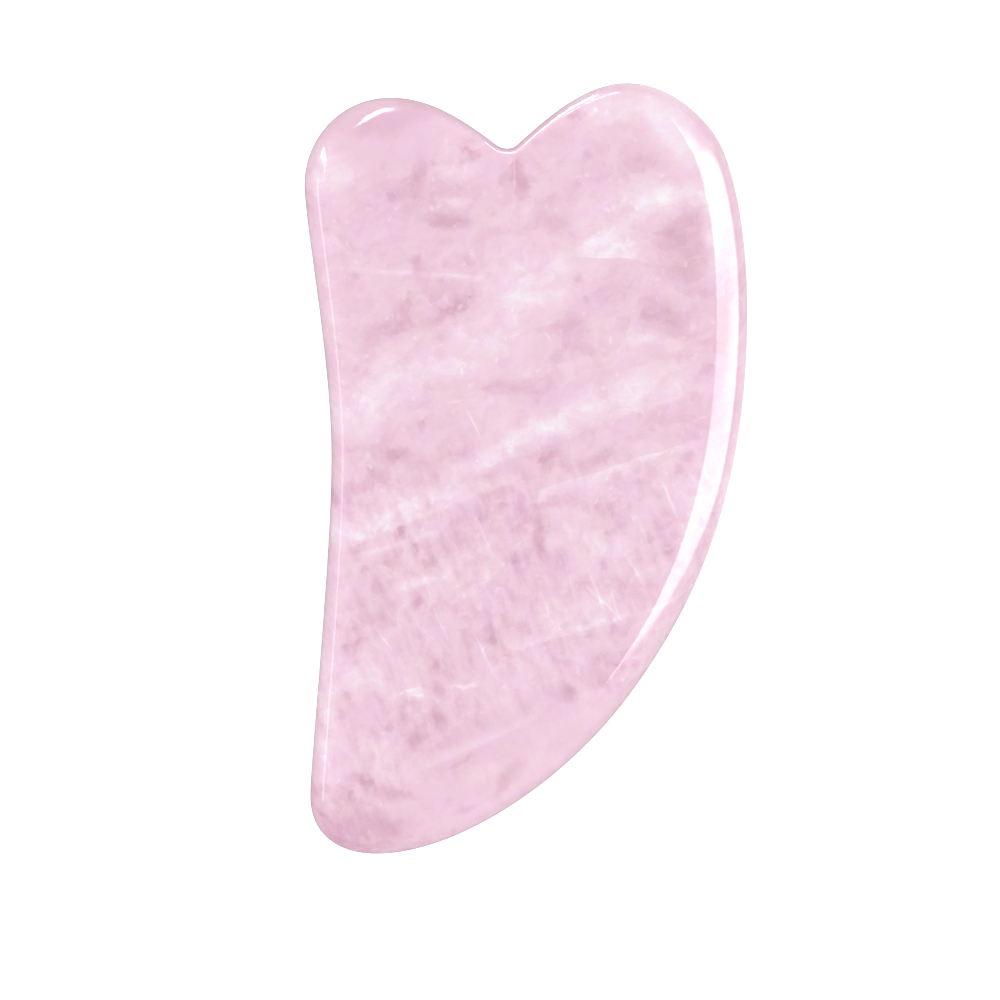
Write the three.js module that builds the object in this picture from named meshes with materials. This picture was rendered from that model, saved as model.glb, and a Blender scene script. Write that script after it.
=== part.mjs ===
// A facial gua sha board: one plate of rose quartz, polished all over, with a heart notch at one end,
// a long convex flank, a shallow waist opposite it and a rounded toe at the other end.
// Millimetres, +Z up. The board lies on its back face, with the notched end towards +Y, the convex
// flank at +X and the waist at -X. The origin is under the middle of its box, on the back face.

import * as THREE from 'three';

// Driving dimensions
const THICKNESS = 6;
const CREASE_HEIGHT = 1.04; // height of the ground rim's full dome over the flat face's height
const RIM_STEPS = 6; // faces across half of the rim, from the widest line to the flat face

// The outline, anticlockwise from the flank. Each anchor has its place, the heading of the outline
// there in degrees from +X, the lengths of the Bezier handles before and after it, the width of the
// ground rim, and the number of faces on the stretch that follows it.
const ANCHORS = [
  { name: 'flank', x: 23, y: 16.5, heading: 90, before: 17.5, after: 9, rim: 3.4, steps: 14 },
  { name: 'shoulder', x: 20, y: 34, heading: 120, before: 2.5, after: 3.5, rim: 3.3, steps: 12 },
  { name: 'crown', x: 10.5, y: 40, heading: 180, before: 4, after: 4.5, rim: 1.5, steps: 11 },
  { name: 'notch_right', x: -1, y: 33.5, heading: 222, before: 4, after: 0.7, rim: 0.85, steps: 8 },
  { name: 'notch_left', x: -3, y: 33.5, heading: 143, before: 0.7, after: 3.5, rim: 0.85, steps: 11 },
  { name: 'lobe', x: -14, y: 38.5, heading: 180, before: 4.5, after: 5.5, rim: 2.5, steps: 14 },
  { name: 'cheek', x: -23, y: 29.5, heading: 270, before: 4.5, after: 4, rim: 2.2, steps: 14 },
  { name: 'waist', x: -20.2, y: 1, heading: 270, before: 10.5, after: 10, rim: 1.6, steps: 14 },
  { name: 'heel', x: -22.4, y: -34, heading: 270, before: 3.5, after: 4, rim: 2.1, steps: 13 },
  { name: 'toe', x: -15.5, y: -40, heading: 0, before: 4, after: 8, rim: 2.5, steps: 18 },
  { name: 'belly', x: 10.5, y: -23.8, heading: 53, before: 11.5, after: 13.5, rim: 2.9, steps: 20 },
];

const roseQuartz = new THREE.MeshStandardMaterial({ color: 0xf0cede, roughness: 0.12, metalness: 0 });

// The unit vector along an anchor's heading
function direction(anchor) {
  const angle = THREE.MathUtils.degToRad(anchor.heading);
  return new THREE.Vector2(Math.cos(angle), Math.sin(angle));
}

// The stretch of the outline from one anchor to the next
function stretchBetween(from, to) {
  const start = new THREE.Vector2(from.x, from.y);
  const end = new THREE.Vector2(to.x, to.y);
  const leaving = start.clone().addScaledVector(direction(from), from.after);
  const arriving = end.clone().addScaledVector(direction(to), -to.before);
  return new THREE.CubicBezierCurve(start, leaving, arriving, end);
}

// Stations round the outline: a point, the way in from it, and the width of the rim there
function outlineStations() {
  const stations = [];
  ANCHORS.forEach((anchor, i) => {
    const next = ANCHORS[(i + 1) % ANCHORS.length];
    const stretch = stretchBetween(anchor, next);
    for (let k = 0; k < anchor.steps; k += 1) {
      const t = k / anchor.steps;
      const along = stretch.getTangent(t);
      const share = THREE.MathUtils.smoothstep(t, 0, 1);
      stations.push({
        point: stretch.getPoint(t),
        inward: new THREE.Vector2(-along.y, along.x),
        rim: THREE.MathUtils.lerp(anchor.rim, next.rim, share),
      });
    }
  });
  return stations;
}

// Half of the rim's section. The board is a full dome with its top ground off flat, so the rim meets
// the flat face at a shallow crease. Each step has its way in, as a share of the rim's width, and its
// height from the middle plane, as a share of half the thickness.
function rimSection() {
  const creaseAngle = Math.asin(1 / CREASE_HEIGHT);
  const fullWidth = 1 - Math.cos(creaseAngle);
  const section = [];
  for (let k = 0; k <= RIM_STEPS; k += 1) {
    const angle = (creaseAngle * k) / RIM_STEPS;
    section.push({ inward: (1 - Math.cos(angle)) / fullWidth, height: CREASE_HEIGHT * Math.sin(angle) });
  }
  return section;
}

// Rings of points from the back face, out round the rim, to the front face
function rings(stations) {
  const upper = rimSection();
  const lower = upper.slice(1).reverse().map((step) => ({ ...step, height: -step.height }));
  const half = THICKNESS / 2;
  return [...lower, ...upper].map((step) =>
    stations.map(({ point, inward, rim }) => {
      const place = point.clone().addScaledVector(inward, step.inward * rim);
      return new THREE.Vector3(place.x, place.y, half + half * step.height);
    }),
  );
}

// Two triangles for each face between one ring and the next
function wallFaces(ringCount, ringSize) {
  const faces = [];
  for (let ring = 0; ring < ringCount - 1; ring += 1) {
    for (let k = 0; k < ringSize; k += 1) {
      const next = (k + 1) % ringSize;
      const low = ring * ringSize;
      const high = low + ringSize;
      faces.push([low + k, low + next, high + next], [low + k, high + next, high + k]);
    }
  }
  return faces;
}

// The flat face inside a ring, facing down on the back and up on the front
function flatFaces(ring, firstIndex, facesDown) {
  const contour = ring.map((place) => new THREE.Vector2(place.x, place.y));
  return THREE.ShapeUtils.triangulateShape(contour, []).map((face) => {
    const [a, b, c] = face.map((k) => k + firstIndex);
    return facesDown ? [a, c, b] : [a, b, c];
  });
}

function boardGeometry() {
  const boardRings = rings(outlineStations());
  const ringSize = boardRings[0].length;
  const last = boardRings.length - 1;
  const faces = [
    ...flatFaces(boardRings[0], 0, true),
    ...wallFaces(boardRings.length, ringSize),
    ...flatFaces(boardRings[last], last * ringSize, false),
  ];
  const geometry = new THREE.BufferGeometry().setFromPoints(boardRings.flat());
  geometry.setIndex(faces.flat());
  geometry.computeVertexNormals();
  return geometry;
}

function stoneBoard() {
  const mesh = new THREE.Mesh(boardGeometry(), roseQuartz);
  mesh.name = 'stone_board';
  return mesh;
}

const board = new THREE.Group();
board.add(stoneBoard());

export default board;
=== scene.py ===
"""A rose quartz gua sha board lying on a pale floor, seen from straight above."""

import math

import bpy
import numpy as np
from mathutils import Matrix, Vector
from mathutils.geometry import delaunay_2d_cdt


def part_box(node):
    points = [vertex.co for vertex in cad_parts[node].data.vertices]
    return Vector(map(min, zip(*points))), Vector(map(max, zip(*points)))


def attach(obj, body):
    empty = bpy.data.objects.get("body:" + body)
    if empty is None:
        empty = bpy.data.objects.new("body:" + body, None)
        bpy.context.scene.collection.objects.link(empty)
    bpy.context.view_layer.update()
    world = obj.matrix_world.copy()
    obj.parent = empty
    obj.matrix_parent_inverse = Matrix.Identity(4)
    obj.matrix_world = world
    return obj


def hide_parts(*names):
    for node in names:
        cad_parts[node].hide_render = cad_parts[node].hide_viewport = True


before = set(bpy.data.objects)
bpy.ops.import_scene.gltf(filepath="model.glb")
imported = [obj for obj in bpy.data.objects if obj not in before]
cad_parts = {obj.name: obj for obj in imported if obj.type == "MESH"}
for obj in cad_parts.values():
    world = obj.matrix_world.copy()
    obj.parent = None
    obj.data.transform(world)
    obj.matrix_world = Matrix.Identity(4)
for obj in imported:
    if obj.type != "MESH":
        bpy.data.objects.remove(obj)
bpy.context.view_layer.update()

MM = 0.001
NODE = "stone_board"
LOW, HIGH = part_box(NODE)
THICKNESS = (HIGH.z - LOW.z) / MM

# The outline, anticlockwise from the convex flank, in millimetres: place, heading in degrees,
# lengths of the Bezier handles before and after the anchor, and the width of the ground rim.
ANCHORS = [
    ("flank", 23.0, 16.5, 90, 17.5, 9.0, 3.4),
    ("shoulder", 20.0, 34.0, 120, 2.5, 3.5, 3.3),
    ("crown", 10.5, 40.0, 180, 4.0, 4.5, 1.5),
    ("notch_right", -1.0, 33.5, 222, 4.0, 0.7, 0.85),
    ("notch_left", -3.0, 33.5, 143, 0.7, 3.5, 0.85),
    ("lobe", -14.0, 38.5, 180, 4.5, 5.5, 2.5),
    ("cheek", -23.0, 29.5, 270, 4.5, 4.0, 2.2),
    ("waist", -20.2, 1.0, 270, 10.5, 10.0, 1.6),
    ("heel", -22.4, -34.0, 270, 3.5, 4.0, 2.1),
    ("toe", -15.5, -40.0, 0, 4.0, 8.0, 2.5),
    ("belly", 10.5, -23.8, 53, 11.5, 13.5, 2.9),
]
CREASE_HEIGHT = 1.04  # the rim's full dome over the flat face's height
STATION_GAP = 0.3  # about how far apart the points of the outline are, in millimetres
RIM_STEPS = 20  # rings on each half of the rim, up to the crease
CREASE_SOFT = 0.03  # how far the crease is rounded off, in millimetres of height
CREASE_REACH = 0.25  # how far each side of the crease the rounding reaches
CREASE_STEPS = 6
FACE_GRID = 1.0  # spacing of the points on the flat faces
FACE_CLEARANCE = 0.6  # how far those points keep from the crease, in grid steps
WAVE = 0.012  # depth of the polisher's waviness on the flat faces
WAVE_START = 4.0  # the waviness fades in over this distance from the crease


def heading(degrees):
    """The unit vector at an angle from +X."""
    return np.array([math.cos(math.radians(degrees)), math.sin(math.radians(degrees))])


def smoothstep(t):
    t = np.clip(t, 0, 1)
    return t * t * (3 - 2 * t)


def bezier(start, leaving, arriving, end, t):
    """Points on a cubic Bezier stretch, and the direction of travel at each."""
    s = 1 - t
    points = s**3 * start + 3 * s**2 * t * leaving + 3 * s * t**2 * arriving + t**3 * end
    along = s**2 * (leaving - start) + 2 * s * t * (arriving - leaving) + t**2 * (end - arriving)
    return points, along / np.linalg.norm(along, axis=1)[:, None]


def stations():
    """Points round the outline, the way in from each, and the rim's width there."""
    points, inward, rims = [], [], []
    for here, after in zip(ANCHORS, ANCHORS[1:] + ANCHORS[:1]):
        start, end = np.array(here[1:3]), np.array(after[1:3])
        leaving = start + heading(here[3]) * here[5]
        arriving = end - heading(after[3]) * after[4]
        steps = max(4, round(np.linalg.norm(end - start) / STATION_GAP))
        t = np.arange(steps)[:, None] / steps
        stretch, along = bezier(start, leaving, arriving, end, t)
        points.append(stretch)
        inward.append(np.stack([-along[:, 1], along[:, 0]], 1))
        rims.append(here[6] + (after[6] - here[6]) * smoothstep(t[:, 0]))
    return np.concatenate(points), np.concatenate(inward), np.concatenate(rims)


def rim_height(inset, rim):
    """Height over the middle plane at a distance in from the outline: a dome with its top ground flat."""
    half = THICKNESS / 2
    crease = math.asin(1 / CREASE_HEIGHT)
    reach = rim / (1 - math.cos(crease))
    across = np.clip(1 - inset / reach, 0, 1)
    dome = half * CREASE_HEIGHT * np.sqrt(1 - across**2)
    share = np.clip(0.5 + 0.5 * (half - dome) / CREASE_SOFT, 0, 1)
    return half * (1 - share) + dome * share - CREASE_SOFT * share * (1 - share)


def rim_insets(rim):
    """How far in each ring lies, from the widest line to the flat face, for each station."""
    crease = math.asin(1 / CREASE_HEIGHT)
    angles = crease * np.arange(RIM_STEPS) / RIM_STEPS
    dome = (1 - np.cos(angles)) / (1 - math.cos(crease))
    blend = np.linspace(-CREASE_REACH, CREASE_REACH, CREASE_STEPS)
    return [share * (rim - CREASE_REACH) for share in dome] + [rim + step for step in blend]


def wave(x, y):
    """Slow waviness of a hand-polished face, from 0 to 1."""
    first = np.sin(x * 0.31 + 1.3 * np.sin(y * 0.17))
    second = np.sin(y * 0.23 + 1.1 * np.sin(x * 0.19 + 2.0))
    return 0.5 + 0.25 * (first + second)


def inside(ring, x, y):
    """Whether a point is inside a ring, by the crossings of a line to its right."""
    after = np.roll(ring, -1, 0)
    crosses = (ring[:, 1] > y) != (after[:, 1] > y)
    rise = np.where(crosses, after[:, 1] - ring[:, 1], 1)
    at = ring[:, 0] + (y - ring[:, 1]) / rise * (after[:, 0] - ring[:, 0])
    return np.count_nonzero(crosses & (at > x)) % 2 == 1


def face_points(ring):
    """A staggered grid of points inside a ring, and the triangles of ring and grid together."""
    low, high = ring.min(0), ring.max(0)
    inner = []
    for row, y in enumerate(np.arange(low[1], high[1], FACE_GRID)):
        for x in np.arange(low[0], high[0], FACE_GRID) + (row % 2) * FACE_GRID / 2:
            clear = np.hypot(ring[:, 0] - x, ring[:, 1] - y).min() > FACE_GRID * FACE_CLEARANCE
            if clear and inside(ring, x, y):
                inner.append((x, y))
    points = [Vector(p) for p in ring] + [Vector(p) for p in inner]
    made, _, faces, *_ = delaunay_2d_cdt(points, [], [list(range(len(ring)))], 1, 1e-7)
    assert len(made) == len(points)
    return np.array(inner), [list(face) for face in faces]


def board_mesh():
    """The board's skin: rings from the back's crease round the rim to the front's, and two faces."""
    points, inward, rims = stations()
    count, half = len(points), THICKNESS / 2
    upper = []
    for inset in rim_insets(rims):
        upper.append(np.column_stack([points + inward * inset[:, None], rim_height(inset, rims)]))
    rings = [ring * (1, 1, -1) for ring in upper[:0:-1]] + upper
    crease = upper[-1][:, :2]
    inner, triangles = face_points(crease)
    from_crease = np.array([np.hypot(*(crease - p).T).min() for p in inner])
    sink = WAVE * wave(inner[:, 0], inner[:, 1]) * np.clip(from_crease / WAVE_START, 0, 1)
    front = np.column_stack([inner, half - sink])
    back = np.column_stack([inner, sink - half])
    verts = np.concatenate(rings + [back, front]) + (0, 0, half)
    faces = []
    for start in range(0, (len(rings) - 1) * count, count):
        for k in range(count):
            n = (k + 1) % count
            faces.append((start + k, start + n, start + count + n, start + count + k))
    last_ring = (len(rings) - 1) * count
    first_back = len(rings) * count
    first_front = first_back + len(inner)
    for triangle in triangles:
        faces.append(tuple(i if i < count else first_back + i - count for i in reversed(triangle)))
        faces.append(tuple(last_ring + i if i < count else first_front + i - count for i in triangle))
    mesh = bpy.data.meshes.new("rose_quartz_board")
    mesh.from_pydata([tuple(v) for v in verts * MM], [], faces)
    mesh.validate()
    mesh.polygons.foreach_set("use_smooth", [True] * len(mesh.polygons))
    return mesh


class Nodes:
    """Adds shader nodes to a material and joins them up."""

    def __init__(self, tree):
        self.tree = tree

    def add(self, kind, inputs, output=0, **settings):
        node = self.tree.nodes.new(kind)
        for key, value in settings.items():
            setattr(node, key, value)
        for key, value in inputs.items():
            self.put(value, node.inputs[key])
        return node.outputs[output]

    def put(self, value, socket):
        """Links an output to a socket, or sets a plain value on it."""
        if isinstance(value, bpy.types.NodeSocket):
            self.tree.links.new(value, socket)
        else:
            socket.default_value = value

    def math(self, operation, a, b=0.0, clamp=False):
        return self.add("ShaderNodeMath", {0: a, 1: b}, operation=operation, use_clamp=clamp)

    def plus(self, a, b):
        return self.math("ADD", a, b)

    def times(self, a, b):
        return self.math("MULTIPLY", a, b)

    def about(self, value, gain):
        """A pattern about 0.5 as one about 0, with a gain."""
        return self.times(self.math("SUBTRACT", value, 0.5), gain)

    def vector(self, operation, a, b):
        return self.add("ShaderNodeVectorMath", {0: a, 1: b}, operation=operation)

    def scale(self, vector, factor):
        return self.add("ShaderNodeVectorMath", {0: vector, "Scale": factor}, operation="SCALE")

    def part(self, vector, axis):
        return self.add("ShaderNodeSeparateXYZ", {0: vector}, output=axis)

    def noise(self, vector, scale, detail=4.0, roughness=0.5, output="Fac"):
        inputs = {"Vector": vector, "Scale": scale, "Detail": detail, "Roughness": roughness}
        return self.add("ShaderNodeTexNoise", inputs, output=output)

    def cells(self, vector, scale, output="Distance", randomness=1.0):
        inputs = {"Vector": vector, "Scale": scale, "Randomness": randomness}
        return self.add("ShaderNodeTexVoronoi", inputs, output=output)

    def spread(self, value, low, high, to_low=0.0, to_high=1.0, kind="SMOOTHSTEP"):
        inputs = {"Value": value, 1: low, 2: high, 3: to_low, 4: to_high}
        return self.add("ShaderNodeMapRange", inputs, interpolation_type=kind)

    def turned(self, vector, turn, size):
        """The vector seen from axes turned about Z by some degrees, in steps of some size."""
        inputs = {"Vector": vector, "Rotation": (0, 0, math.radians(turn)), "Scale": size}
        return self.add("ShaderNodeMapping", inputs, vector_type="TEXTURE")

    def gradient(self, kind, vector, place, turn, size):
        """A gradient texture at a place, turned about Z by some degrees and drawn out to some size.

        SPHERICAL falls from 1 at the middle to 0 at the surface of an ellipsoid. LINEAR rises from
        0 at the place to 1 at the size, along the turned X.
        """
        value = self.add("ShaderNodeTexGradient", {"Vector": vector}, output="Fac", gradient_type=kind)
        mapping = value.node.texture_mapping
        mapping.vector_type = "TEXTURE"
        mapping.translation = place
        mapping.rotation = (0, 0, math.radians(turn))
        mapping.scale = size
        return value


def linear(red, green, blue):
    """A display colour, 0 to 255, as the linear colour that a shader takes."""
    def channel(value):
        value /= 255
        return value / 12.92 if value <= 0.04045 else ((value + 0.055) / 1.055) ** 2.4

    return (*(channel(c) for c in (red, green, blue)), 1.0)


GRAIN = 20  # the direction of the veils, in degrees from +X
CROSS = -68  # the direction of the short fractures across them
VEIL_DEPTH = 9.0  # half the height of a cloud inside the stone
CLOUD_REACH = 1.3  # a cloud fades out this far beyond its stated size
ENDLESS = 1000.0  # a size that nothing in the stone reaches
LEAN = (0.4, -0.55)  # how far the pattern shifts along X and Y for each millimetre of depth
BASE_MILKINESS = 0.435  # how milky the stone is away from its clouds and veils

# Clouds inside the stone: x, y, half length, half width, turn from +X in degrees, and how much
# milkier (over 0) or pinker (under 0) the stone is there.
CLOUDS = [
    # the main vein, from the waist up to the right flank
    (-13.5, -4.2, 8.5, 1.6, 22, 0.28),
    (-1.5, 2.4, 7.5, 1.4, 25, 0.28),
    (12.0, 8.2, 8.5, 2.1, 13, 0.29),
    # the broad cloud above it
    (-15.5, 7.2, 6.5, 2.8, 38, 0.28),
    (-4.0, 14.0, 8.5, 2.8, 30, 0.25),
    (0.5, 20.0, 7.0, 4.0, 10, 0.24),
    (13.5, 12.8, 5.5, 0.8, -8, 0.20),
    # the clouds of the two lobes
    (-20.2, 29.8, 2.6, 3.4, 0, 0.30),
    (-7.2, 30.8, 2.6, 0.9, 5, 0.22),
    (-7.0, 27.1, 1.6, 0.6, -10, 0.26),
    (10.0, 36.8, 5.5, 1.7, -4, 0.30),
    (15.6, 34.0, 5.8, 2.4, -50, 0.34),
    (19.4, 26.0, 1.4, 7.5, 4, 0.36),
    (12.8, 27.4, 6.8, 2.1, 10, 0.21),
    # the lower half
    (-20.3, -25.0, 1.3, 9.0, 3, 0.24),
    (-15.5, -22.3, 4.6, 1.6, -8, 0.20),
    (-16.2, -28.8, 2.6, 1.3, -24, 0.18),
    (-11.0, -23.3, 1.5, 0.8, -14, 0.42),
    (-6.3, -22.2, 1.9, 0.35, 3, 0.34),
    (-11.2, -11.6, 2.4, 1.0, 10, 0.18),
    (-4.6, -31.0, 2.4, 0.9, 24, 0.16),
    (4.2, -14.8, 5.5, 2.8, 12, 0.16),
    (8.5, -9.2, 5.0, 1.8, -34, 0.14),
    (17.0, -4.0, 1.1, 5.0, -12, 0.22),
    (1.6, -2.4, 1.3, 0.7, 30, 0.30),
    # pinker patches
    (-17.0, -37.7, 5.4, 3.0, 6, -0.42),
    (-14.8, -33.3, 4.2, 0.9, -6, -0.24),
    (-17.2, -32.1, 1.4, 0.7, -20, -0.26),
    (-1.9, -32.0, 1.3, 2.6, -36, -0.26),
    (-6.6, -30.0, 1.6, 0.4, 22, -0.20),
    (-8.8, -26.3, 1.3, 1.0, -30, -0.22),
    (-11.1, -28.4, 1.0, 0.9, 0, -0.20),
    (3.9, -23.2, 1.2, 1.1, 0, -0.24),
    (7.9, -21.6, 1.3, 0.9, 30, -0.20),
    (-6.1, -35.2, 1.6, 0.6, 24, -0.18),
    (8.0, -20.0, 4.5, 2.0, 30, -0.14),
    (16.4, 23.0, 3.0, 4.2, -6, -0.22),
    (13.4, 15.8, 3.8, 1.7, -36, -0.22),
    (4.6, 13.2, 2.0, 2.8, 10, -0.24),
    (3.2, 11.0, 1.0, 0.8, 0, -0.22),
    (-1.6, 8.3, 4.2, 1.6, 2, -0.22),
    (2.8, 8.4, 1.1, 1.6, 14, -0.18),
    (-14.2, 14.4, 4.4, 2.0, 24, -0.20),
    (-7.2, 16.9, 3.2, 1.0, 24, -0.24),
    (-8.0, 25.2, 3.0, 1.1, -6, -0.34),
    (-0.6, 29.4, 0.9, 2.5, 4, -0.34),
    (2.8, 24.9, 2.3, 1.2, -8, -0.22),
    (8.0, 18.6, 1.9, 2.4, 0, -0.12),
    (11.6, 31.6, 2.6, 1.8, 12, -0.24),
    (5.2, 36.1, 1.3, 0.6, 14, -0.24),
    (-14.5, 35.8, 5.5, 1.8, 8, -0.16),
    (-13.0, 30.0, 7.5, 4.5, 0, -0.09),
    (-11.2, 30.6, 1.0, 2.2, -6, -0.22),
    (-5.6, 32.7, 1.4, 0.5, -36, -0.26),
    (-18.2, 23.4, 1.6, 0.8, -24, -0.22),
    (-11.6, 21.0, 1.0, 1.0, 0, -0.26),
    (-13.3, 1.5, 1.2, 0.9, 10, -0.30),
    (-15.8, 2.2, 3.4, 1.6, 10, -0.16),
    (2.2, 1.2, 1.3, 1.5, 0, -0.26),
    (7.4, 1.5, 2.6, 0.9, 14, -0.28),
    (-17.8, -1.8, 1.3, 0.7, 0, -0.24),
    (-3.0, -2.7, 1.6, 0.7, 20, -0.20),
    (1.6, -7.2, 0.9, 2.5, 6, -0.30),
    (-1.4, -9.5, 1.0, 0.9, 0, -0.24),
    (9.4, -4.8, 1.8, 1.8, 0, -0.18),
    (-13.4, -6.9, 0.7, 0.9, -10, -0.26),
    (-9.6, -9.1, 1.3, 0.8, 14, -0.28),
    (-17.9, -9.0, 0.9, 0.8, 0, -0.26),
    (-16.4, -16.4, 2.6, 3.2, -24, -0.22),
    (-11.8, -14.6, 0.8, 1.5, -14, -0.20),
    (11.2, -12.6, 2.2, 1.3, -20, -0.18),
    (-4.2, -17.4, 1.6, 1.2, -30, -0.18),
]

# Straight veils with one sharp side: x, y, turn, half length, how far the milkiness fades on the
# left of the way that it runs and on the right, and the gain at the line.
VEILS = [
    (-12.0, -5.3, 21, 9.5, 2.4, 0.6, 0.22),
    (9.7, 5.6, 16, 11.0, 3.0, 0.7, 0.20),
    (9.7, 0.3, 17, 9.8, 0.22, 1.5, 0.26),
    (-13.5, -7.8, 17, 5.8, 0.4, 0.7, 0.18),
    (4.6, -17.0, 17, 8.8, 1.2, 0.22, 0.18),
    (-11.5, 20.1, -3, 9.0, 0.35, 0.6, 0.20),
    (8.2, 21.7, -3, 3.6, 5.0, 0.2, 0.36),
    (-4.6, -28.2, 24, 7.5, 1.0, 0.4, 0.16),
    (14.5, 27.6, 12, 4.5, 1.6, 0.3, 0.14),
    (15.4, -13.9, 14, 3.6, 0.5, 0.25, 0.20),
]

# Hairline fractures: x, y, half length, half width, turn and gain.
FRACTURES = [
    (-5.4, 4.6, 2.6, 0.22, -68, 0.30),
    (-7.3, 6.9, 1.3, 0.22, 12, 0.24),
    (-4.3, -19.2, 3.2, 0.26, -62, 0.30),
    (-4.2, -7.2, 2.9, 0.22, -66, 0.24),
    (-8.9, -16.0, 2.6, 0.22, -66, 0.20),
    (7.2, -12.7, 3.6, 0.24, -70, 0.24),
    (4.6, -12.0, 3.2, 0.22, -74, 0.18),
    (7.8, -13.8, 4.0, 0.26, -41, 0.22),
    (9.0, -13.6, 3.3, 0.24, -73, 0.20),
    (11.1, -10.5, 3.2, 0.26, -60, 0.22),
    (14.6, -3.0, 3.0, 0.24, -66, 0.26),
    (12.2, -7.0, 3.2, 0.22, -66, 0.18),
    (-14.6, -17.6, 2.2, 0.24, -58, 0.26),
    (2.2, -14.4, 3.0, 0.20, -70, 0.18),
    (-1.2, 30.0, 3.4, 0.16, 88, 0.22),
    (2.2, 13.4, 1.2, 0.22, -62, 0.28),
]

# Clear, calm zones: x, y, half length, half width and turn.
CALM_ZONES = [
    (-2.0, -30.5, 17.0, 6.5, 30),
    (-14.5, 35.0, 8.5, 4.8, 4),
    (15.5, 34.5, 7.5, 4.0, -50),
]


def stone_place(n):
    """Where a point of the surface looks into the stone, in millimetres. The veils lean with depth."""
    place = n.scale(n.add("ShaderNodeTexCoord", {}, output="Object"), 1 / MM)
    depth = n.math("SUBTRACT", THICKNESS, n.part(place, "Z"))
    shift = {"X": n.times(depth, LEAN[0]), "Y": n.times(depth, LEAN[1])}
    lean = n.add("ShaderNodeCombineXYZ", shift)
    return n.vector("ADD", place, lean)


def clouds(n, bent, texture):
    """The clouds and the pinker patches, broken up by a finer texture."""
    total = 0.0
    for x, y, long, wide, turn, gain in CLOUDS:
        size = (long * CLOUD_REACH, wide * CLOUD_REACH, VEIL_DEPTH)
        near = n.gradient("SPHERICAL", bent, (x, y, THICKNESS), turn, size)
        total = n.plus(total, n.spread(near, 0.0, 0.8, 0.0, gain))
    return n.times(total, n.spread(texture, 0.3, 0.7, 0.8, 1.15, kind="LINEAR"))


def veils(n, bent, texture):
    """The straight veils, each fading out at its ends and broken up by a finer texture."""
    total = 0.0
    for x, y, turn, long, left, right, gain in VEILS:
        outer = (x, y) - heading(turn + 90) * right
        leftward = n.gradient("LINEAR", bent, (x, y, 0), turn + 90, (left, 1, 1))
        rightward = n.gradient("LINEAR", bent, (*outer, 0), turn + 90, (right, 1, 1))
        length = n.gradient("SPHERICAL", bent, (x, y, 0), turn, (long, ENDLESS, ENDLESS))
        line = n.times(n.spread(leftward, 0.0, 1.0, gain, 0.0), n.spread(rightward, 0.0, 1.0))
        total = n.plus(total, n.times(line, n.spread(length, 0.0, 0.4)))
    return n.times(total, n.spread(texture, 0.3, 0.7, 0.5, 1.4, kind="LINEAR"))


def fractures(n, ruffled):
    total = 0.0
    for x, y, long, wide, turn, gain in FRACTURES:
        near = n.gradient("SPHERICAL", ruffled, (x, y, THICKNESS), turn, (long, wide, VEIL_DEPTH))
        total = n.plus(total, n.spread(near, 0.0, 0.9, 0.0, gain))
    return total


def cross_texture(n, ruffled):
    """Pinker cells drawn out across the grain, with soft milky streaks between."""
    cells = specks(n, n.turned(ruffled, CROSS, (2.8, 1.5, 4.0)), 1.0, 0.5, 0.62, -0.15)
    broad = n.noise(n.turned(ruffled, CROSS + 8, (3.4, 1.3, 5.0)), 1.0, 3, 0.6)
    narrow = n.noise(n.turned(ruffled, CROSS - 6, (2.4, 0.7, 5.0)), 1.0, 2, 0.5)
    return n.plus(cells, n.plus(n.about(broad, 0.50), n.about(narrow, 0.30)))


def specks(n, vector, scale, chosen, size, gain):
    """Small separate spots in a share of the cells of a Voronoi pattern."""
    pick = n.spread(n.cells(vector, scale, output="Color"), chosen, chosen + 0.05)
    spot = n.spread(n.cells(vector, scale), size * 0.3, size, gain, 0.0)
    return n.times(pick, spot)


def liveliness(n, bent):
    """How strongly the fine texture shows, from 0 to 1. It is faint in the clear, calm zones."""
    calm = 0.0
    for x, y, long, wide, turn in CALM_ZONES:
        near = n.gradient("SPHERICAL", bent, (x, y, THICKNESS), turn, (long, wide, ENDLESS))
        calm = n.plus(calm, n.spread(near, 0.0, 0.4, 0.0, 0.62))
    return n.math("SUBTRACT", 1.0, calm)


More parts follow.
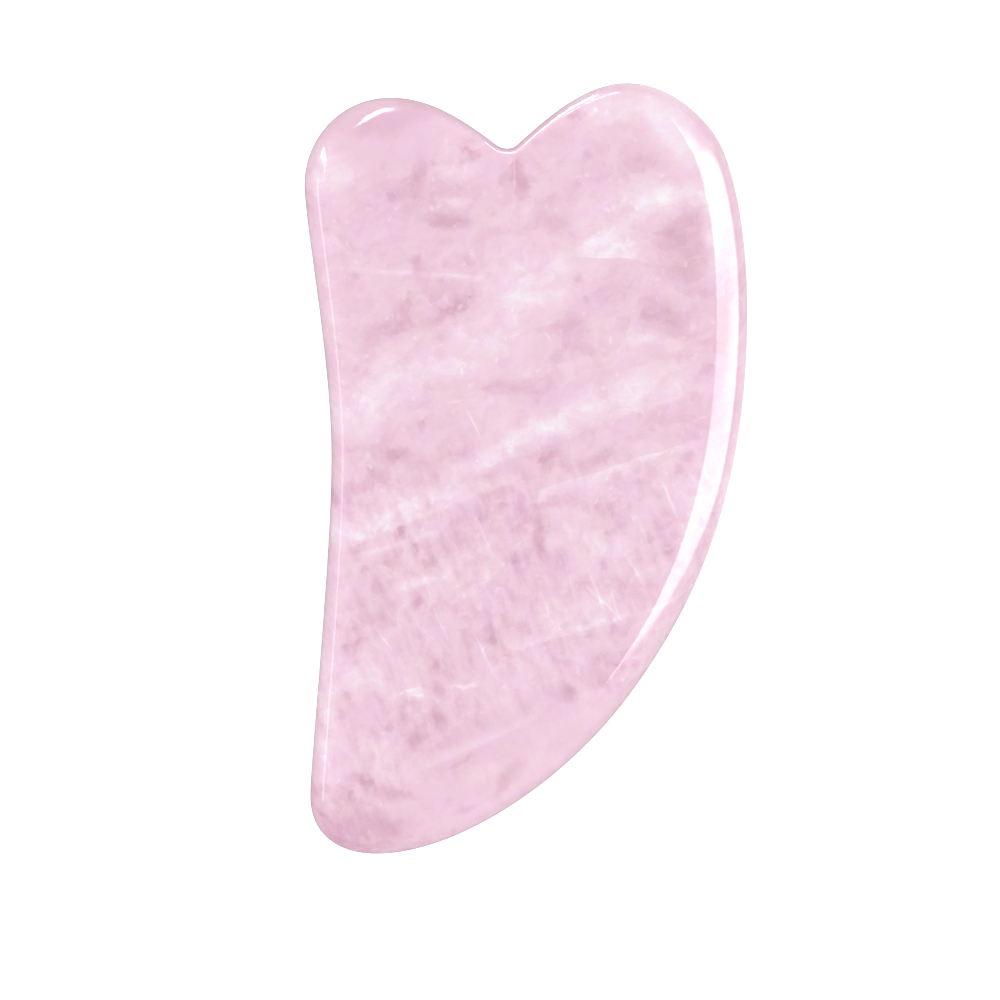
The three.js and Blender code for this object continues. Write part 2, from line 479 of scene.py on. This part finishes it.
def stone_pattern(n, place):
    """How milky the stone is at each place, about 0 for the deepest pink and 1 for white."""
    half = (0.5, 0.5, 0.5)
    broad = n.scale(n.vector("SUBTRACT", n.noise(place, 0.2, 2, output="Color"), half), 3.0)
    fine = n.scale(n.vector("SUBTRACT", n.noise(place, 1.1, 3, 0.65, output="Color"), half), 1.3)
    bent = n.vector("ADD", n.vector("ADD", place, broad), fine)
    ruffled = n.vector("ADD", place, n.scale(n.vector("ADD", broad, fine), 0.25))

    along = n.turned(bent, GRAIN, (1, 1, 1))
    haze = n.noise(n.vector("MULTIPLY", along, (0.07, 0.14, 0.12)), 1.0, 4, 0.55)
    mottle = n.noise(n.vector("MULTIPLY", along, (0.42, 0.62, 0.5)), 1.0, 6, 0.62)
    flakes = n.cells(n.vector("MULTIPLY", along, (0.26, 0.42, 0.3)), 1.0, output="Color")
    chips = n.cells(n.vector("MULTIPLY", along, (0.65, 0.95, 0.7)), 1.0, output="Color")
    texture = n.plus(n.about(mottle, 0.55), n.about(n.noise(bent, 2.4, 3, 0.6), 0.14))
    texture = n.plus(texture, n.plus(n.about(flakes, 0.18), n.about(chips, 0.14)))
    texture = n.plus(texture, specks(n, bent, 0.5, 0.63, 0.42, -0.16))
    texture = n.plus(texture, specks(n, n.vector("ADD", bent, (7.0, 3.0, 0.0)), 0.9, 0.66, 0.32, 0.20))
    lower = n.spread(n.part(place, "Y"), 5.0, -3.0, 0.12, 1.0)
    texture = n.plus(texture, n.times(cross_texture(n, ruffled), lower))

    base = n.plus(BASE_MILKINESS, n.about(haze, 0.45))
    value = n.plus(base, n.times(texture, liveliness(n, bent)))
    value = n.plus(value, clouds(n, bent, mottle))
    value = n.plus(value, veils(n, ruffled, mottle))
    return n.math("ADD", value, fractures(n, ruffled), clamp=True)


def stone_colour(n, place, milkiness):
    """Pink where the stone is clear, white where it is milky, with a slow drift in hue."""
    stops = [
        (0.0, (220, 175, 195)),
        (0.2, (231, 192, 209)),
        (0.4, (240, 207, 222)),
        (0.6, (246, 217, 230)),
        (0.8, (251, 230, 240)),
        (1.0, (255, 245, 250)),
    ]
    ramp = n.tree.nodes.new("ShaderNodeValToRGB")
    n.put(milkiness, ramp.inputs["Fac"])
    for _ in range(len(stops) - 2):
        ramp.color_ramp.elements.new(0.5)
    for element, (at, colour) in zip(ramp.color_ramp.elements, stops):
        element.position = at
        element.color = linear(*colour)
    drift = n.spread(n.noise(place, 0.45, 3), 0.35, 0.65)
    lilac, peach = (1.0, 0.985, 1.025, 1), (1.0, 1.0, 0.99, 1)
    tint = n.add("ShaderNodeMix", {0: drift, 6: lilac, 7: peach}, output=2, data_type="RGBA")
    inputs = {0: 1.0, 6: ramp.outputs["Color"], 7: tint}
    return n.add("ShaderNodeMix", inputs, output=2, data_type="RGBA", blend_type="MULTIPLY")


QUARTZ_IOR = 1.54
POLISH = (0.045, 0.09)  # roughness of the polish, from its glossiest patches to its dullest
PIT_DEPTH = 0.01  # depth of the fine pits in the polish, in millimetres
INNER_SHARE = 0.5  # share of the light that spreads inside the stone
INNER_REACH = 2  # how far it spreads, in millimetres
INNER_TINT = (1.0, 0.6, 0.75)  # how far red, green and blue each spread, as shares of that


def stone_material():
    mat = bpy.data.materials.new("rose_quartz")
    mat.use_nodes = True
    n = Nodes(mat.node_tree)
    place = stone_place(n)
    milkiness = stone_pattern(n, place)
    shader = mat.node_tree.nodes["Principled BSDF"].inputs
    n.put(stone_colour(n, place, milkiness), shader["Base Color"])
    n.put(n.spread(n.noise(place, 0.8, 3), 0.3, 0.7, *POLISH), shader["Roughness"])
    pits = n.spread(n.cells(place, 1.7), 0.0, 0.12)
    dimple = {"Strength": 0.25, "Distance": PIT_DEPTH * MM, "Height": pits}
    n.put(n.add("ShaderNodeBump", dimple), shader["Normal"])
    shader["IOR"].default_value = QUARTZ_IOR
    shader["Subsurface Weight"].default_value = INNER_SHARE
    shader["Subsurface Radius"].default_value = INNER_TINT
    shader["Subsurface Scale"].default_value = INNER_REACH * MM
    return mat


def stone_board():
    board = bpy.data.objects.new("rose_quartz_board", board_mesh())
    bpy.context.scene.collection.objects.link(board)
    board.data.materials.append(stone_material())
    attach(board, "root")
    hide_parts(NODE)


CARD_STEPS = 24  # squares along each side of a light card
SKY_DISTANCE = 1000  # how far off most of the cards stand, in millimetres
FLOOR_DROP = 0.0001  # how far the floor lies under the board, in metres


def in_sky(azimuth, tilt):
    """The place at an azimuth from +X and a tilt from straight up, in degrees, over the front face."""
    a, t = math.radians(azimuth), math.radians(tilt)
    direction = np.array([math.sin(t) * math.cos(a), math.sin(t) * math.sin(a), math.cos(t)])
    return direction * SKY_DISTANCE + (0, 0, THICKNESS)


def light_card(name, place, radiance, soft=(0.25, 0.25)):
    """A soft-edged card that the polish mirrors, and that neither lights the board nor is seen.

    For u and v from 0 to 1 across the card, place(u, v) is where each point of it is, and
    radiance(u, v) is its brightness there. soft is the share of each side that fades out.
    """
    verts, glow, faces = [], [], []
    for row in range(CARD_STEPS + 1):
        for column in range(CARD_STEPS + 1):
            u, v = column / CARD_STEPS, row / CARD_STEPS
            verts.append([size * MM for size in place(u, v)])
            fade_u = smoothstep(min(u, 1 - u) / soft[0])
            fade_v = smoothstep(min(v, 1 - v) / soft[1])
            glow.append(float(radiance(u, v) * fade_u * fade_v))
    for row in range(CARD_STEPS):
        for column in range(CARD_STEPS):
            k = row * (CARD_STEPS + 1) + column
            faces.append((k, k + 1, k + CARD_STEPS + 2, k + CARD_STEPS + 1))
    mesh = bpy.data.meshes.new(name)
    mesh.from_pydata(verts, [], faces)
    mesh.attributes.new("glow", "FLOAT", "POINT").data.foreach_set("value", glow)
    mesh.materials.append(card_material())
    card = bpy.data.objects.new(name, mesh)
    bpy.context.scene.collection.objects.link(card)
    card.visible_camera = False
    card.visible_diffuse = False
    card.visible_transmission = False
    card.visible_volume_scatter = False
    card.visible_shadow = False


def card_material():
    """Light of the strength that each point of a card holds, clear where that is none."""
    mat = bpy.data.materials.get("light_card")
    if mat:
        return mat
    mat = bpy.data.materials.new("light_card")
    mat.use_nodes = True
    n = Nodes(mat.node_tree)
    glow = n.add("ShaderNodeAttribute", {}, output="Fac", attribute_name="glow")
    light = n.add("ShaderNodeEmission", {"Strength": glow})
    clear = n.add("ShaderNodeBsdfTransparent", {})
    both = n.add("ShaderNodeAddShader", {0: light, 1: clear})
    n.put(both, mat.node_tree.nodes["Material Output"].inputs["Surface"])
    return mat


def window_right(u, v):
    """The window on the right. Its sides slant, so its light narrows at the belly and the shoulder."""
    tilt = 19 + 65 * v
    near = -60 + 0.55 * tilt
    far = 70 - 0.52 * tilt
    return in_sky(near + (far - near) * u, tilt)


def window_radiance(u, v):
    """Dimmer high up in the middle, and fading in at the belly and out round the shoulder."""
    high = smoothstep((0.7 - v) / 0.3)
    middle = smoothstep((u - 0.36) / 0.1) * smoothstep((0.64 - u) / 0.1)
    start, end = smoothstep(u / 0.08), smoothstep((1 - u) / 0.2)
    return 7.0 * (1 - 0.5 * high * middle) * start * end


def strip_lobe(u, v):
    """A curved strip, mirrored as the short streak on the left lobe."""
    return in_sky(91 + 27 * u, 72 - 12 * u - 32 * u * u + (16 + 8 * u) * (v - 0.5))


def strip_corner(u, v):
    """A steep strip, mirrored as the short streak on the left corner, below the lobe."""
    return in_sky(143 + 10 * u**0.6 + (7 - 4 * u) * v, 80 - 56 * u)


def card_slope(u, v):
    """A small card beside the slope right of the notch, too low for the flat face to mirror it."""
    return 6.5 - 9.5 * u, 43.0 - 7.1 * u, 4.3 + 1.9 * v


def card_left(u, v):
    """A dim card, mirrored as the fine pale line along the waist."""
    return in_sky(168 + 28 * u, 60 + 12 * v)


def card_floor(u, v):
    """A card on the floor beside the flank and the right lobe, which makes the board's edge pale there."""
    return 62 * u, -25 + 100 * v, -FLOOR_DROP / MM / 2


def floor_radiance(u, v):
    """Dimmer beside the right lobe, so that the flank keeps its outline when seen from the toe."""
    return 0.9 - 0.35 * smoothstep((v - 0.2) / 0.2)


def lights():
    light_card("window_right", window_right, window_radiance, soft=(0.05, 0.05))
    light_card("strip_lobe", strip_lobe, lambda u, v: 14.0, soft=(0.12, 0.2))
    light_card("strip_corner", strip_corner, lambda u, v: 15.0, soft=(0.07, 0.15))
    light_card("card_slope", card_slope, lambda u, v: 14.0, soft=(0.1, 0.15))
    light_card("card_left", card_left, lambda u, v: 3.0)
    light_card("card_floor", card_floor, floor_radiance)


WORLD_SEEN = 1.0  # how bright the white room is
WORLD_MIRRORED = 0.82  # how bright it is in the polish, so that a low view still shows the flat face


def studio_world():
    world = bpy.data.worlds.new("studio")
    bpy.context.scene.world = world
    world.use_nodes = True
    n = Nodes(world.node_tree)
    background = world.node_tree.nodes["Background"].inputs
    background["Color"].default_value = (1, 1, 1, 1)
    mirrored = n.add("ShaderNodeLightPath", {}, output="Is Glossy Ray")
    n.put(n.spread(mirrored, 0, 1, WORLD_SEEN, WORLD_MIRRORED), background["Strength"])


FLOOR_HALF = 3.0  # half the floor's width, in metres
FLOOR_SEEN = 0.95  # how light the floor is
FLOOR_MIRRORED_SHADE = 0.25  # how light it is in the polish: painted shade, the whole floor darkened in reflections to stand in for the contact shadow round the board's edge
FLOOR_LIFT = 0.5  # how far it is lifted towards white, for the camera only


def pale_floor():
    h = FLOOR_HALF
    mesh = bpy.data.meshes.new("floor")
    mesh.from_pydata([(-h, -h, 0), (h, -h, 0), (h, h, 0), (-h, h, 0)], [], [(0, 1, 2, 3)])
    mat = bpy.data.materials.new("pale_floor")
    mat.use_nodes = True
    n = Nodes(mat.node_tree)
    shader = mat.node_tree.nodes["Principled BSDF"].inputs
    shader["Specular IOR Level"].default_value = 0.0
    shader["Roughness"].default_value = 0.7
    shader["Emission Color"].default_value = (1, 1, 1, 1)
    path = n.add("ShaderNodeLightPath", {}).node.outputs
    # painted shade: mirrored rays see a darker floor, standing in for the contact shadow that the rim
    # mirrors
    n.put(n.spread(path["Is Glossy Ray"], 0, 1, FLOOR_SEEN, FLOOR_MIRRORED_SHADE), shader["Base Color"])
    n.put(n.times(path["Is Camera Ray"], FLOOR_LIFT), shader["Emission Strength"])
    mesh.materials.append(mat)
    floor = bpy.data.objects.new("floor", mesh)
    floor.location.z = -FLOOR_DROP
    bpy.context.scene.collection.objects.link(floor)


LENS = 100  # focal length, in millimetres
SENSOR = 36  # sensor width, in millimetres
VIEW_SPAN = 0.1039  # the width of the view at the middle of the board's thickness, in metres
VIEW_CENTRE = (-0.0027, -0.00327)  # the place under the camera, in metres


def overhead_camera():
    camera = bpy.data.objects.new("camera", bpy.data.cameras.new("camera"))
    camera.data.lens = LENS
    camera.data.sensor_width = SENSOR
    camera.location = (*VIEW_CENTRE, THICKNESS / 2 * MM + VIEW_SPAN * LENS / SENSOR)
    bpy.context.scene.collection.objects.link(camera)
    bpy.context.scene.camera = camera
    bpy.context.scene.view_settings.view_transform = "Standard"


stone_board()
lights()
studio_world()
pale_floor()
overhead_camera()
